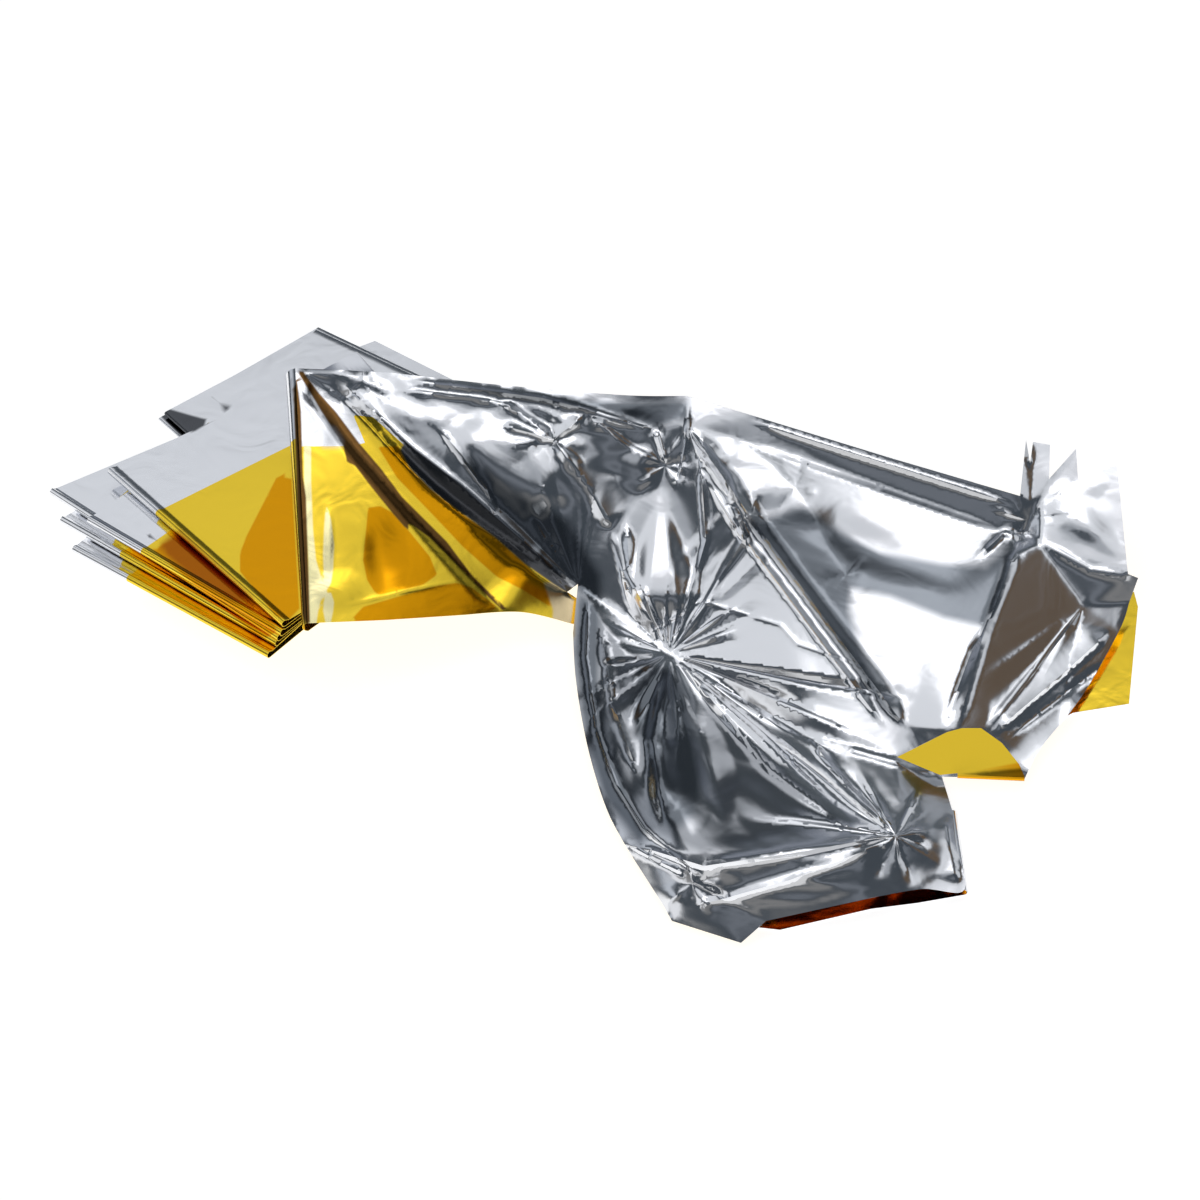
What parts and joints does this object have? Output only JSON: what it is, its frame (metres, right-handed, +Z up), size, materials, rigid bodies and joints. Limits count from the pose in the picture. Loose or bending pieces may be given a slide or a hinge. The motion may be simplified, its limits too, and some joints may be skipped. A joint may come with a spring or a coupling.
{
  "type": "emergency foil blanket",
  "caption": "Half-unpacked emergency blanket of mirror-bright metallised film, silver on one face and gold on the other: a fanned, back-and-forth folded pack that opens into a crumpled sheet.",
  "frame": {"origin": "on the surface it lies on, under the middle of the heap's bounding box", "axes": "+X from the folded pack towards the open end, +Y away from the front towards the raised ridge, +Z up"},
  "size_m": [0.5338, 0.4167, 0.0605],
  "materials": {
    "foil": "thin metallised film, mirror bright and crinkled, silver on one face and transparent gold over metal on the other"
  },
  "bodies": {
    "root": {"foil_sheet": "foil"}
  },
  "joints": []
}
